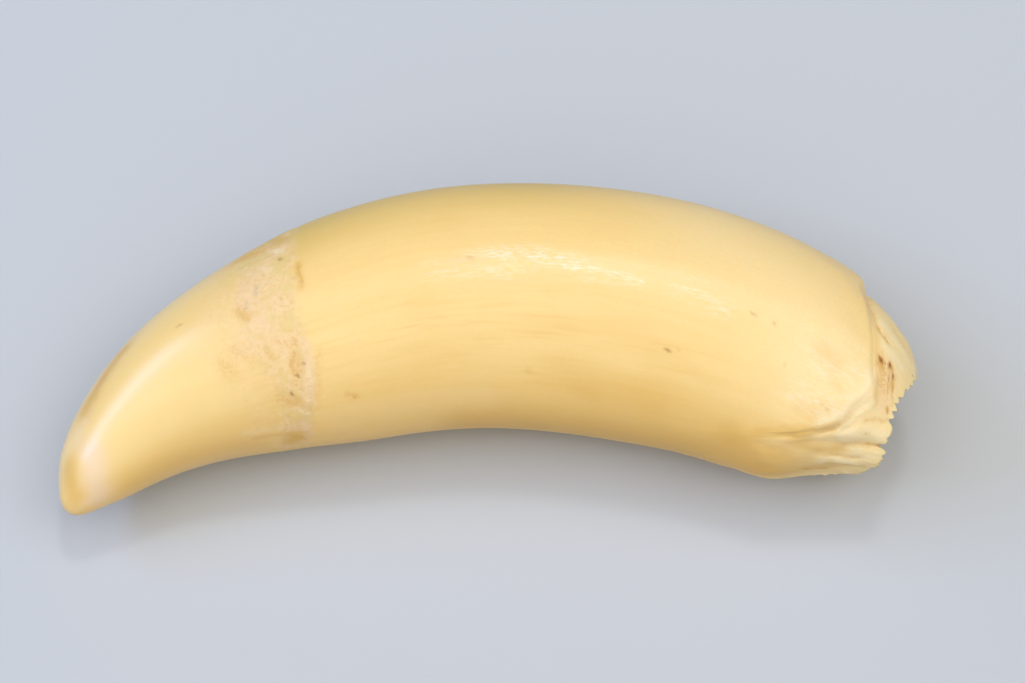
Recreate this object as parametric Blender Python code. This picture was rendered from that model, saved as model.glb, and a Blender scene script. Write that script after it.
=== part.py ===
"""An orca tooth, lying on its side as it comes to rest on a flat surface.

It grew as one piece, so it is one closed solid. A mid line bends like a hook from the tip of
the crown to the open end of the root. Oval sections stand square to it: broad in the plane of
the hook, less deep across it. The root's smooth body ends in a rounded lip with knuckles, and
from under that lip comes a frayed cone, folded lengthwise, whose ragged rim closes in round a
shallow pulp pit.

Along the mid line, distances run from 0 at the tip. Round a section, 0 degrees is the outer
(convex) edge of the hook, 90 degrees faces up, 180 degrees is the inner (concave) edge, and 270
degrees faces down. All lengths are in metres.
"""

import bmesh
import bpy
import numpy as np
from mathutils import Euler

# Driving dimensions: (distance from the tip, value) stations along the mid line
HEADING = (
    (0.0, 65.0), (0.0115, 45.0), (0.0275, 23.0), (0.0445, 13.5),
    (0.0615, -2.0), (0.0795, -13.5), (0.0965, -30.0), (0.1115, -35.0),
)
HALF_BREADTH = (
    (0.0, 0.0), (0.0008, 0.0016), (0.0022, 0.0027), (0.0055, 0.0047), (0.0115, 0.0069),
    (0.0195, 0.0093), (0.0295, 0.0117), (0.0415, 0.0138), (0.0555, 0.0146), (0.0745, 0.0149),
    (0.0875, 0.0144), (0.0955, 0.0136), (0.1015, 0.0120), (0.1065, 0.0102), (0.1115, 0.0088),
)
DEPTH_SHARE = ((0.0, 0.95), (0.020, 0.88), (0.050, 0.82), (0.112, 0.80))

# Half breadth of the frayed cone inside the root, below its outer edge and below its inner one
CONE_OUTER = (
    (0.0875, 0.0126), (0.0950, 0.0123), (0.0980, 0.0120), (0.1010, 0.0112), (0.1030, 0.01035),
    (0.1045, 0.0096), (0.1055, 0.0087), (0.1065, 0.0077), (0.1073, 0.0068), (0.1082, 0.0058),
    (0.1115, 0.0044),
)
CONE_INNER = (
    (0.0875, 0.0148), (0.0920, 0.0144), (0.0950, 0.01385), (0.0980, 0.0128), (0.1026, 0.0098),
    (0.1065, 0.0074), (0.1090, 0.0061), (0.1115, 0.0050),
)

# (degrees round the section, distance from the tip) of the body's lip and of the cone's rim
BODY_END = (
    (0, 0.0980), (20, 0.0988), (38, 0.0996), (46, 0.1006), (53, 0.1019), (60, 0.1030),
    (68, 0.1040), (76, 0.1048), (86, 0.1055), (96, 0.1056), (108, 0.1051), (116, 0.1045),
    (121, 0.1037), (127, 0.1019), (133, 0.1001), (139, 0.0976), (146, 0.0948), (155, 0.0935),
    (185, 0.0935), (200, 0.0955), (213, 0.0992), (230, 0.1017), (258, 0.1037), (285, 0.1022),
    (315, 0.0996), (340, 0.0982),
)
RIM = (
    (0, 0.1063), (15, 0.1068), (25, 0.1072), (33, 0.1075), (38, 0.1075), (44, 0.1075),
    (50, 0.1076), (56, 0.1076), (62, 0.1075), (68, 0.1074), (76, 0.1075), (84, 0.1076),
    (93, 0.1081), (105, 0.1085), (115, 0.1088), (124, 0.1092), (136, 0.1094), (150, 0.1093),
    (165, 0.1086), (185, 0.1080), (205, 0.1080), (230, 0.1080), (258, 0.1074), (285, 0.1062),
    (310, 0.1056), (335, 0.1057),
)

# Notches in the rim: degrees, depth, half width in degrees
NOTCHES = (
    (12, 0.0005, 5.0), (57, 0.0003, 3.0), (66, 0.0003, 3.0), (77, 0.0004, 3.0),
    (83.5, 0.0005, 2.5), (90, 0.0006, 3.0), (97.5, 0.0007, 3.5), (121.5, 0.0010, 4.0),
    (157, 0.0004, 4.0), (178, 0.0006, 5.0), (196, 0.0004, 4.0), (214, 0.0008, 5.0),
    (236, 0.0006, 4.0), (255, 0.0009, 5.0), (276, 0.0005, 4.0), (298, 0.0009, 5.0),
    (318, 0.0005, 5.0), (338, 0.0008, 5.0),
)

# (degrees, share) of the crease under the lip and of the cone's folds, both shallow in places
CREASE_SHARE = (
    (0, 0.5), (40, 0.3), (70, 0.3), (100, 0.4), (118, 0.6), (132, 0.2), (158, 0.0), (190, 0.1),
    (220, 0.7), (300, 1.0),
)
FOLD_SHARE = (
    (0, 0.8), (30, 0.30), (60, 0.15), (95, 0.20), (120, 0.20), (150, 0.20), (170, 0.35),
    (205, 0.85), (240, 1.0), (320, 1.0),
)

# (degrees, metres) over which the body's lip and the cone run into each other
BLEND = (
    (0, 0.0008), (40, 0.0007), (60, 0.0005), (95, 0.0007), (112, 0.0004), (135, 0.0005),
    (185, 0.0005), (230, 0.0004), (300, 0.0004),
)

LIP_WIDTH = 0.0027
LIP_POWER = 2.6
LIP_WOBBLE = 0.0002
BLEND_IN = 0.06
CREASE_DEPTH = 0.0004
CREASE_WIDTH = 0.0006
CREASE_BACK = 0.0006
CONE_RISE = 0.0013
CONE_RISE_START = 0.097
CONE_RISE_RUN = 0.005
FOLD_DEPTH = 0.0008
FOLD_START = 0.002
FOLD_RUN = 0.006
PIT_BASE = 0.1058
PIT_DEPTH = 0.0022
PIT_HALF = 0.0070
PIT_PLEAT = 0.10

# The band where the gum met the tooth: its middle, its half width and how far it stands up
GUM_PLACE = 0.0324
GUM_SLANT = 0.0028
GUM_HALF_WIDTH = 0.0036
GUM_HEIGHT = 0.00013

# Broad rises and hollows: distance, degrees, reach along, reach round in degrees, height
SWELLS = (
    (0.0998, 170, 0.0030, 38, 0.00050),
    (0.1010, 100, 0.0028, 24, 0.00030),
    (0.1072, 110, 0.0020, 8, 0.00030),
    (0.1046, 119, 0.0022, 8, 0.00025),
    (0.1052, 148, 0.0036, 9, 0.00030),
    (0.1050, 92, 0.0014, 20, 0.00028),
    (0.1047, 112, 0.0014, 12, 0.00030),
    (0.0955, 118, 0.0030, 16, -0.00025),
    (0.0700, 60, 0.0160, 35, 0.00015),
    (0.0480, 255, 0.0120, 40, -0.00012),
    (0.0880, 250, 0.0070, 35, 0.00025),
    (0.0960, 305, 0.0030, 22, -0.00022),
)

# How the tooth lies: turned about its length, then about its breadth, in degrees
ROLL = 8.2
PITCH = -1.0

# The skin's grid. Rings per metre are stations too: close at the tip, the gum band and the root
AROUND = 64
RINGS_PER_METRE = (
    (0.0, 3000), (0.002, 1100), (0.008, 450), (0.025, 330), (0.029, 750), (0.036, 750),
    (0.041, 260), (0.080, 260), (0.092, 900), (0.099, 1400), (0.108, 1400),
)
OUTER_RINGS = 60
PIT_RINGS = 9
EVEN_TO = 0.082
GRID_LIP = 0.1009
GRID_RIM = 0.1079

TOOTH_COLOUR = (0.93, 0.68, 0.31, 1.0)
TOOTH_ROUGHNESS = 0.36
SHARP_ANGLE = 48.0


def clear_scene():
    """Removes every object that the file starts with."""
    for obj in list(bpy.data.objects):
        bpy.data.objects.remove(obj, do_unlink=True)


def smooth(stations, places):
    """Curve through the stations with no overshoot, held level past both ends."""
    xs, ys = np.array(stations, float).T
    x = np.clip(places, xs[0], xs[-1])
    gaps = np.diff(xs)
    slopes = np.diff(ys) / gaps
    before, after = slopes[:-1], slopes[1:]
    same_way = before * after > 0
    weight = (2 * gaps[1:] + gaps[:-1]) / np.where(same_way, before, 1.0)
    weight = weight + (gaps[1:] + 2 * gaps[:-1]) / np.where(same_way, after, 1.0)
    inner = np.where(same_way, 3 * (gaps[:-1] + gaps[1:]) / weight, 0.0)
    tangents = np.concatenate([slopes[:1], inner, slopes[-1:]])
    i = np.clip(np.searchsorted(xs, x, side="right") - 1, 0, len(xs) - 2)
    t = (x - xs[i]) / gaps[i]
    start = (1 + 2 * t) * (1 - t) ** 2 * ys[i] + t * (1 - t) ** 2 * gaps[i] * tangents[i]
    finish = t * t * (3 - 2 * t) * ys[i + 1] + t * t * (t - 1) * gaps[i] * tangents[i + 1]
    return start + finish


def smooth_round(stations, theta):
    """The same curve through stations in degrees that repeat each full turn."""
    before = tuple((angle - 360, value) for angle, value in stations[-3:])
    after = tuple((angle + 360, value) for angle, value in stations[:3])
    return smooth(before + stations + after, np.degrees(theta) % 360.0)


def ramp(share):
    """Goes smoothly from 0 to 1 as share does."""
    share = np.clip(share, 0.0, 1.0)
    return share * share * (3 - 2 * share)


def mid_line(distance):
    """x, y and heading of the mid line, its heading stations summed in short steps."""
    step = 0.0001
    fine = np.arange(0.0, HEADING[-1][0] + 0.003, step)
    heading = np.radians(smooth(HEADING, fine))
    middles = (heading[1:] + heading[:-1]) / 2
    x = np.concatenate([[0.0], np.cumsum(np.cos(middles)) * step])
    y = np.concatenate([[0.0], np.cumsum(np.sin(middles)) * step])
    return tuple(np.interp(distance, fine, values) for values in (x, y, heading))


def half_breadth(distance):
    """Half breadth of the smooth body. Its square is what is smoothed, so the tip is round."""
    squares = tuple((place, half * half) for place, half in HALF_BREADTH)
    return np.sqrt(smooth(squares, distance))


def swell(distance, theta):
    """Sum of the broad rises and hollows, each a bell in distance and in angle."""
    total = 0.0
    for place, angle, reach, reach_round, height in SWELLS:
        turned = (np.degrees(theta) - angle + 180.0) % 360.0 - 180.0
        total = total + height * np.exp(-((distance - place) / reach) ** 2 - (turned / reach_round) ** 2)
    return total


def gum_band(distance, theta):
    """Height of the thin crust where the gum met the tooth, slanted from edge to edge."""
    middle = GUM_PLACE + GUM_SLANT * np.cos(theta + np.radians(15))
    middle = middle + 0.0006 * np.sin(4 * theta + 0.5)
    off = np.abs(distance - middle) / GUM_HALF_WIDTH
    return GUM_HEIGHT * ramp(2.2 * (1 - off))


def folds(distance, theta):
    """Depth, 0 to 1, of the lengthwise folds: round ridges with sharp valleys between them."""
    wander = 0.35 * np.sin(3 * theta + 0.8) + 0.25 * np.sin(5 * theta - 1.1)
    twist = 160 * (distance - GRID_RIM) - 0.11
    wide = 1 - np.abs(np.sin(4.5 * theta + 0.45 * wander + twist))
    narrow = 1 - np.abs(np.sin(10 * theta + 1.4 * wander - 0.4))
    return 0.72 * wide ** 2 + 0.28 * narrow ** 2


def rim(theta):
    """Distance from the tip to the ragged rim, notched between its lobes and teeth."""
    reach = smooth_round(RIM, theta)
    for angle, depth, half_width in NOTCHES:
        turned = (np.degrees(theta) - angle + 180.0) % 360.0 - 180.0
        reach = reach - depth * ramp(1 - np.abs(turned) / half_width)
    return reach


def lip_end(theta):
    """Distance from the tip to the end of the body's lip, slightly wavy."""
    waves = np.sin(9 * theta + 0.5) + 0.6 * np.sin(16 * theta + 2.0)
    return smooth_round(BODY_END, theta) + LIP_WOBBLE * waves


def outer_half(distance, theta):
    """Half breadth of the outside: the wider of the lipped body and the cone, run together."""
    end = lip_end(theta)
    half = half_breadth(distance)
    inside = np.clip((end - distance) / LIP_WIDTH, 0.0, 1.0)
    lip = (1 - (1 - inside) ** LIP_POWER) ** (1 / LIP_POWER)
    outer_side = 0.5 + 0.5 * np.cos(theta + np.radians(15))
    cone = outer_side * smooth(CONE_OUTER, distance) + (1 - outer_side) * smooth(CONE_INNER, distance)
    rise = CONE_RISE * np.sin(theta) ** 2 * ramp((distance - CONE_RISE_START) / CONE_RISE_RUN)
    cone = np.minimum(cone + rise, half)
    fold = FOLD_DEPTH * smooth_round(FOLD_SHARE, theta) * folds(distance, theta)
    cone = cone - fold * ramp((distance - end + FOLD_START) / FOLD_RUN)
    crease = CREASE_DEPTH * smooth_round(CREASE_SHARE, theta)
    cone = cone - crease * np.exp(-((distance - end + CREASE_BACK) / CREASE_WIDTH) ** 2)
    blend = smooth_round(BLEND, theta)
    near = np.clip(1 - np.abs(half * lip - cone) / blend, 0.0, 1.0) * ramp((1 - lip) / BLEND_IN)
    wider = np.maximum(half * lip, cone) + blend / 4 * near ** 2
    fade_in = ramp(distance / 0.010)
    return wider + fade_in * (swell(distance, theta) + gum_band(distance, theta))


def place(distance, theta, half):
    """Points of the sections: across the mid line by half, and up by its share in depth."""
    x, y, heading = mid_line(distance)
    across = half * np.cos(theta)
    up = smooth(DEPTH_SHARE, distance) * half * np.sin(theta)
    return np.stack([x - np.sin(heading) * across, y + np.cos(heading) * across, up], axis=-1)


def skin(along, theta):
    """Points of the whole skin: along runs 0 to 1 from tip to rim, then 1 to 2 into the pit."""
    lip, last = lip_end(theta), rim(theta)
    even = np.minimum(along, 1.0) * GRID_RIM
    to_lip = EVEN_TO + (even - EVEN_TO) * (lip - EVEN_TO) / (GRID_LIP - EVEN_TO)
    to_rim = lip + (even - GRID_LIP) * (last - lip) / (GRID_RIM - GRID_LIP)
    distance = np.where(even < EVEN_TO, even, np.where(even < GRID_LIP, to_lip, to_rim))

    share = 1 - np.clip(along - 1.0, 0.0, 1.0)
    floor = PIT_DEPTH * ramp((0.88 - share) / 0.5) * (1 + 0.2 * np.cos(2 * theta + 0.6) * ramp(2 * share))
    pit_distance = PIT_BASE + (last - PIT_BASE) * share ** 3 - floor
    pleat = PIT_PLEAT * ramp(3 * (1 - share)) * ramp(1.6 * share) * np.cos(7 * theta + 1)
    evened = PIT_HALF + (outer_half(last, theta) - PIT_HALF) * share ** 3
    pit_half = evened * share * (1 - pleat)

    in_pit = along > 1.0
    half = np.where(in_pit, pit_half, outer_half(distance, theta))
    return place(np.where(in_pit, pit_distance, distance), theta, half)


def ring_places():
    """Where the rings lie: 0 to 1 by their density from tip to rim, then 1 to 2 into the pit."""
    fine = np.linspace(0.0, GRID_RIM, 2000)
    count = np.cumsum(smooth(RINGS_PER_METRE, fine))
    count = (count - count[0]) / (count[-1] - count[0])
    outer = np.interp(np.linspace(0.0, 1.0, OUTER_RINGS, endpoint=False), count, fine / GRID_RIM)
    return np.concatenate([outer, np.linspace(1.0, 2.0, PIT_RINGS + 1)])


def laid_down(points):
    """Turns the points to how the tooth rests, with its lowest point at height 0."""
    turn = np.array(Euler((np.radians(ROLL), np.radians(PITCH), 0.0), "XYZ").to_matrix())
    turned = points @ turn.T
    low, high = turned.min(axis=0), turned.max(axis=0)
    return turned - np.array([(low[0] + high[0]) / 2, (low[1] + high[1]) / 2, low[2]])


def tooth_material():
    """Satin cream-yellow ivory."""
    material = bpy.data.materials.new("tooth_ivory")
    material.use_nodes = True
    shader = material.node_tree.nodes["Principled BSDF"]
    shader.inputs["Base Color"].default_value = TOOTH_COLOUR
    shader.inputs["Roughness"].default_value = TOOTH_ROUGHNESS
    shader.inputs["Metallic"].default_value = 0.0
    return material


def tooth(collection):
    """The tooth: a sphere's grid whose poles become the tip and the middle of the pit."""
    places = ring_places()
    bm = bmesh.new()
    bmesh.ops.create_uvsphere(bm, u_segments=AROUND, v_segments=len(places) - 1, radius=1.0)
    ball = np.array([vertex.co for vertex in bm.verts])
    from_tip = np.arccos(np.clip(-ball[:, 2], -1.0, 1.0)) / np.pi
    along = places[np.rint(from_tip * (len(places) - 1)).astype(int)]
    points = laid_down(skin(along, np.arctan2(ball[:, 1], ball[:, 0])))
    for vertex, point in zip(bm.verts, points):
        vertex.co = point
    mesh = bpy.data.meshes.new("tooth")
    bm.to_mesh(mesh)
    bm.free()
    mesh.shade_smooth()
    mesh.set_sharp_from_angle(angle=np.radians(SHARP_ANGLE))
    mesh.materials.append(tooth_material())
    collection.objects.link(bpy.data.objects.new("tooth", mesh))


def main():
    """Builds the tooth in a collection of its own."""
    clear_scene()
    collection = bpy.data.collections.new("orca_tooth")
    bpy.context.scene.collection.children.link(collection)
    tooth(collection)


main()
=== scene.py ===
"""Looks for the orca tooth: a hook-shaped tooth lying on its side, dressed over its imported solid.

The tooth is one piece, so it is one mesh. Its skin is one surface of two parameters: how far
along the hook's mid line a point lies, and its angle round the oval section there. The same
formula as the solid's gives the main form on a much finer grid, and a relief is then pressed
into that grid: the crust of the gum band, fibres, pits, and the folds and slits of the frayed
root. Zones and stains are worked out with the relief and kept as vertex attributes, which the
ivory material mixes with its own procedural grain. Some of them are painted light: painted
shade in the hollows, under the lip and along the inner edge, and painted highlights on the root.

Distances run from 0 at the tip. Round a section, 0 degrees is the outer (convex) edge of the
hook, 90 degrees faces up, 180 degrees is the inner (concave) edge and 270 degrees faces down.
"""

from __future__ import annotations

import logging
import math
from collections.abc import Callable, Iterator
from dataclasses import dataclass, replace
from enum import Enum
from typing import Any

import bpy
import numpy as np
from mathutils import Euler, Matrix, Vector

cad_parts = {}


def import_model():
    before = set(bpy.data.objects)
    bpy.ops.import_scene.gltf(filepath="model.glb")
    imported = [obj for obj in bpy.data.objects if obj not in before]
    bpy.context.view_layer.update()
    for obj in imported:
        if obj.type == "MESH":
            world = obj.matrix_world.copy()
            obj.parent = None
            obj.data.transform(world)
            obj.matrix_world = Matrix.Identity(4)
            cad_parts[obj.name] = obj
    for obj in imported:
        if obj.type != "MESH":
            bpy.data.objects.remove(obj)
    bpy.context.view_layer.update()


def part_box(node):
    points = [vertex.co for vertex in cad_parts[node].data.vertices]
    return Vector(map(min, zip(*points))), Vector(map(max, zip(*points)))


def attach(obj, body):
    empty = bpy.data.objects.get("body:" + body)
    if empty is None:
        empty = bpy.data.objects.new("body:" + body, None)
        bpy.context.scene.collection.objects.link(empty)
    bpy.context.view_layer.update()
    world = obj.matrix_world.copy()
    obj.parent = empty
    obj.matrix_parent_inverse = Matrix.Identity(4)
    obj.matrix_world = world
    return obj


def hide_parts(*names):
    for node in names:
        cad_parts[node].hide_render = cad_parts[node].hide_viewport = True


log = logging.getLogger("orca_tooth")

Array = np.ndarray
Pair = tuple[float, float]
Stations = tuple[Pair, ...]
Row = tuple[float, ...]
Triple = tuple[float, float, float]
Colour = Triple
Settings = dict[Any, Any]

MM = 0.001
CORE = 0.012


# Curves and grain


def ramp(share: Array) -> Array:
    """Goes smoothly from 0 to 1 as share does: s squared times (3 - 2 s)."""
    share = np.clip(share, 0.0, 1.0)
    return share * share * (3 - 2 * share)


def fade(values: Array, start: float, length: float) -> Array:
    """Goes smoothly from 0 at start to 1 at length past it."""
    return ramp((values - start) / length)


def turn_between(degrees: Array, angle: float) -> Array:
    """How far degrees is past angle, from -180 to 180."""
    return (degrees - angle + 180.0) % 360.0 - 180.0


def beside(degrees: Array, angle: float, reach: float) -> Array:
    """A bell round the tooth: 1 at angle, and 1 / e where degrees is reach away from it."""
    return np.exp(-((turn_between(degrees, angle) / reach) ** 2))


@dataclass(frozen=True)
class Profile:
    """A value along the tooth, given at stations of (distance or share, value)."""

    stations: Stations

    def at(self, places: Array) -> Array:
        """Curve through the stations: cubic between neighbours, with harmonic-mean tangents.

        Args:
            places: Where to read the curve.

        Returns:
            The values there, held level past both ends, with no overshoot.
        """
        xs, ys = np.array(self.stations, float).T
        x = np.clip(places, xs[0], xs[-1])
        gaps = np.diff(xs)
        slopes = np.diff(ys) / gaps
        before, after = slopes[:-1], slopes[1:]
        same_way = before * after > 0
        weight = (2 * gaps[1:] + gaps[:-1]) / np.where(same_way, before, 1.0)
        weight = weight + (gaps[1:] + 2 * gaps[:-1]) / np.where(same_way, after, 1.0)
        inner = np.where(same_way, 3 * (gaps[:-1] + gaps[1:]) / weight, 0.0)
        tangents = np.concatenate([slopes[:1], inner, slopes[-1:]])
        i = np.clip(np.searchsorted(xs, x, side="right") - 1, 0, len(xs) - 2)
        t = (x - xs[i]) / gaps[i]
        start = (1 + 2 * t) * (1 - t) ** 2 * ys[i] + t * (1 - t) ** 2 * gaps[i] * tangents[i]
        finish = t * t * (3 - 2 * t) * ys[i + 1] + t * t * (t - 1) * gaps[i] * tangents[i + 1]
        return start + finish


@dataclass(frozen=True)
class RoundProfile:
    """A value round the tooth, given at stations of (degrees, value) that repeat each turn."""

    stations: Stations

    def at(self, theta: Array) -> Array:
        """The closed curve through the stations, with three more of them past each end.

        Args:
            theta: Angles, in radians.

        Returns:
            The values there.
        """
        before = tuple((angle - 360, value) for angle, value in self.stations[-3:])
        after = tuple((angle + 360, value) for angle, value in self.stations[:3])
        return Profile(before + self.stations + after).at(np.degrees(theta) % 360.0)


@dataclass(frozen=True)
class Grain:
    """Smooth random values in space, the same in every run. Its layers take the next seeds.

    On the skin, step is its lattice's in millimetres, and along is the lengthwise step where
    that one differs.
    """

    seed: int
    step: float = 1.0
    layers: int = 1
    along: float = 0.0

    def _corner(self, cell: Array, seed: int) -> Array:
        """A fixed random value for each lattice corner: its numbers, multiplied and mixed.

        Args:
            cell: Array with three whole numbers last.
            seed: The seed of this layer.

        Returns:
            Values from -1 to 1.
        """
        with np.errstate(over="ignore"):
            mixed = np.uint32(seed * 7919 + 13)
            for axis, factor in enumerate((0x8DA6B343, 0xD8163841, 0xCB1AB31F)):
                mixed = mixed ^ cell[..., axis] * np.uint32(factor)
            for shift, factor in ((15, 0x2C1B3C6D), (12, 0x297A2D39), (15, 1)):
                mixed = (mixed ^ (mixed >> np.uint32(shift))) * np.uint32(factor)
        return mixed.astype(np.float64) / 2.0**31 - 1.0

    def _layer(self, points: Array, seed: int) -> Array:
        """Value noise: random values at lattice corners, eased between along all three axes.

        Args:
            points: Array with three coordinates last, in lattice steps.
            seed: The seed of this layer.

        Returns:
            Values from -1 to 1.
        """
        low = np.floor(points)
        share = ramp(points - low)
        cell = low.astype(np.int64)
        total = np.zeros(points.shape[:-1])
        for corner in range(8):
            step = np.array([corner & 1, corner >> 1 & 1, corner >> 2 & 1])
            part = np.where(step == 1, share, 1 - share).prod(axis=-1)
            total += part * self._corner((cell + step).astype(np.uint32), seed)
        return total

    def at(self, points: Array) -> Array:
        """Sum of ever finer noises, each of twice the last one's detail and half its strength.

        Args:
            points: Array with three coordinates last, in lattice steps.

        Returns:
            Values from -1 to 1.
        """
        parts = [
            self._layer(points * 2.03**n, self.seed + n) * 0.5**n for n in range(self.layers)
        ]
        return sum(parts) / (2 - 0.5 ** (self.layers - 1))


# The main form


@dataclass(frozen=True)
class ToothForm:
    """The solid's own form, in metres: a bent mid line with oval sections square to it."""

    heading: Profile = Profile((
        (0.0, 65.0), (0.0115, 45.0), (0.0275, 23.0), (0.0445, 13.5),
        (0.0615, -2.0), (0.0795, -13.5), (0.0965, -30.0), (0.1115, -35.0),
    ))
    breadth: Stations = (
        (0.0, 0.0), (0.0008, 0.0016), (0.0022, 0.0027), (0.0055, 0.0047), (0.0115, 0.0069),
        (0.0195, 0.0093), (0.0295, 0.0117), (0.0415, 0.0138), (0.0555, 0.0146), (0.0745, 0.0149),
        (0.0875, 0.0144), (0.0955, 0.0136), (0.1015, 0.0120), (0.1065, 0.0102), (0.1115, 0.0088),
    )
    depth_share: Profile = Profile(((0.0, 0.95), (0.020, 0.88), (0.050, 0.82), (0.112, 0.80)))
    cone_outer: Profile = Profile((
        (0.0875, 0.0126), (0.0950, 0.0123), (0.0980, 0.0120), (0.1010, 0.0112), (0.1030, 0.01035),
        (0.1045, 0.0096), (0.1055, 0.0087), (0.1065, 0.0077), (0.1073, 0.0068), (0.1082, 0.0058),
        (0.1115, 0.0044),
    ))
    cone_inner: Profile = Profile((
        (0.0875, 0.0148), (0.0920, 0.0144), (0.0950, 0.01385), (0.0980, 0.0128),
        (0.1026, 0.0098), (0.1065, 0.0074), (0.1090, 0.0061), (0.1115, 0.0050),
    ))
    body_end: RoundProfile = RoundProfile((
        (0, 0.0980), (20, 0.0988), (38, 0.0996), (46, 0.1006), (53, 0.1019), (60, 0.1030),
        (68, 0.1040), (76, 0.1048), (86, 0.1055), (96, 0.1056), (108, 0.1051), (116, 0.1045),
        (121, 0.1037), (127, 0.1019), (133, 0.1001), (139, 0.0976), (146, 0.0948), (155, 0.0935),
        (185, 0.0935), (200, 0.0955), (213, 0.0992), (230, 0.1017), (258, 0.1037), (285, 0.1022),
        (315, 0.0996), (340, 0.0982),
    ))
    rim_reach: RoundProfile = RoundProfile((
        (0, 0.1063), (15, 0.1068), (25, 0.1072), (33, 0.1075), (38, 0.1075), (44, 0.1075),
        (50, 0.1076), (56, 0.1076), (62, 0.1075), (68, 0.1074), (76, 0.1075), (84, 0.1076),
        (93, 0.1081), (105, 0.1085), (115, 0.1088), (124, 0.1092), (136, 0.1094),
        (150, 0.1093), (165, 0.1086), (185, 0.1080), (205, 0.1080), (230, 0.1080),
        (258, 0.1074), (285, 0.1062), (310, 0.1056), (335, 0.1057),
    ))
    notches: tuple[Triple, ...] = (
        (12, 0.0005, 5.0), (57, 0.0003, 3.0), (66, 0.0003, 3.0), (77, 0.0004, 3.0),
        (83.5, 0.0005, 2.5), (90, 0.0006, 3.0), (97.5, 0.0007, 3.5), (121.5, 0.0010, 4.0),
        (157, 0.0004, 4.0), (178, 0.0006, 5.0), (196, 0.0004, 4.0), (214, 0.0008, 5.0),
        (236, 0.0006, 4.0), (255, 0.0009, 5.0), (276, 0.0005, 4.0), (298, 0.0009, 5.0),
        (318, 0.0005, 5.0), (338, 0.0008, 5.0),
    )
    crease_share: RoundProfile = RoundProfile((
        (0, 0.5), (40, 0.3), (70, 0.3), (100, 0.4), (118, 0.6), (132, 0.2), (158, 0.0),
        (190, 0.1), (220, 0.7), (300, 1.0),
    ))
    fold_share: RoundProfile = RoundProfile((
        (0, 0.8), (30, 0.30), (60, 0.15), (95, 0.20), (120, 0.20), (150, 0.20), (170, 0.35),
        (205, 0.85), (240, 1.0), (320, 1.0),
    ))
    blend: RoundProfile = RoundProfile((
        (0, 0.0008), (40, 0.0007), (60, 0.0005), (95, 0.0007), (112, 0.0004), (135, 0.0005),
        (185, 0.0005), (230, 0.0004), (300, 0.0004),
    ))
    lip_width: float = 0.0027
    lip_power: float = 2.6
    lip_wobble: float = 0.0002
    blend_in: float = 0.06
    crease_depth: float = 0.0004
    crease_width: float = 0.0006
    crease_back: float = 0.0006
    cone_rise: float = 0.0013
    cone_rise_start: float = 0.097
    cone_rise_run: float = 0.005
    fold_depth: float = 0.0008
    fold_start: float = 0.002
    fold_run: float = 0.006
    pit_base: float = 0.1058
    pit_depth: float = 0.0022
    pit_half: float = 0.0070
    pit_pleat: float = 0.10
    swells: tuple[Row, ...] = (
        (0.0998, 170, 0.0030, 38, 0.00050),
        (0.1010, 100, 0.0028, 24, 0.00030),
        (0.1072, 110, 0.0020, 8, 0.00030),
        (0.1046, 119, 0.0022, 8, 0.00025),
        (0.1052, 148, 0.0036, 9, 0.00030),
        (0.1050, 92, 0.0014, 20, 0.00028),
        (0.1047, 112, 0.0014, 12, 0.00030),
        (0.0955, 118, 0.0030, 16, -0.00025),
        (0.0700, 60, 0.0160, 35, 0.00015),
        (0.0480, 255, 0.0120, 40, -0.00012),
        (0.0880, 250, 0.0070, 35, 0.00025),
        (0.0960, 305, 0.0030, 22, -0.00022),
    )
    even_to: float = 0.082
    grid_lip: float = 0.1009
    grid_rim: float = 0.1079
    roll: float = 8.2
    pitch: float = -1.0
    turned_bottom: Triple = (0.048788, 0.019628, -0.007615)

    def mid_line(self, distance: Array) -> tuple[Array, Array, Array]:
        """x, y and heading of the mid line: its heading summed up in short steps.

        Args:
            distance: Distances from the tip.

        Returns:
            The two coordinates in the plane of the hook, and the heading in radians.
        """
        step = 0.0001
        fine = np.arange(0.0, self.heading.stations[-1][0] + 0.003, step)
        heading = np.radians(self.heading.at(fine))
        middles = (heading[1:] + heading[:-1]) / 2
        x = np.concatenate([[0.0], np.cumsum(np.cos(middles)) * step])
        y = np.concatenate([[0.0], np.cumsum(np.sin(middles)) * step])
        return tuple(np.interp(distance, fine, values) for values in (x, y, heading))

    def body_half(self, distance: Array) -> Array:
        """Half breadth of the smooth body: the square root of a curve through its squares."""
        return np.sqrt(Profile(tuple((p, h * h) for p, h in self.breadth)).at(distance))

    def swell(self, distance: Array, theta: Array) -> Array:
        """Sum of the broad rises and hollows, each a bell in distance and in angle.

        Args:
            distance: Distances from the tip.
            theta: Angles round the section, in radians.

        Returns:
            What they add to the half breadth.
        """
        total = np.zeros(np.broadcast(distance, theta).shape)
        for place, angle, reach, reach_round, height in self.swells:
            turned = turn_between(np.degrees(theta), angle)
            bell = ((distance - place) / reach) ** 2 + (turned / reach_round) ** 2
            total = total + height * np.exp(-bell)
        return total

    def folds(self, distance: Array, theta: Array) -> Array:
        """Depth of the cone's lengthwise folds: squares of 1 - |sine| of the angle.

        Args:
            distance: Distances from the tip.
            theta: Angles round the section, in radians.

        Returns:
            The depth, 0 to 1.
        """
        wander = 0.35 * np.sin(3 * theta + 0.8) + 0.25 * np.sin(5 * theta - 1.1)
        twist = 160 * (distance - self.grid_rim) - 0.11
        wide = 1 - np.abs(np.sin(4.5 * theta + 0.45 * wander + twist))
        narrow = 1 - np.abs(np.sin(10 * theta + 1.4 * wander - 0.4))
        return 0.72 * wide**2 + 0.28 * narrow**2

    def rim(self, theta: Array) -> Array:
        """Where the rim is: its reach, less the notches of (degrees, depth, half width).

        Args:
            theta: Angles round the section, in radians.

        Returns:
            Distances from the tip.
        """
        reach = self.rim_reach.at(theta)
        for angle, depth, half_width in self.notches:
            turned = turn_between(np.degrees(theta), angle)
            reach = reach - depth * ramp(1 - np.abs(turned) / half_width)
        return reach

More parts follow.
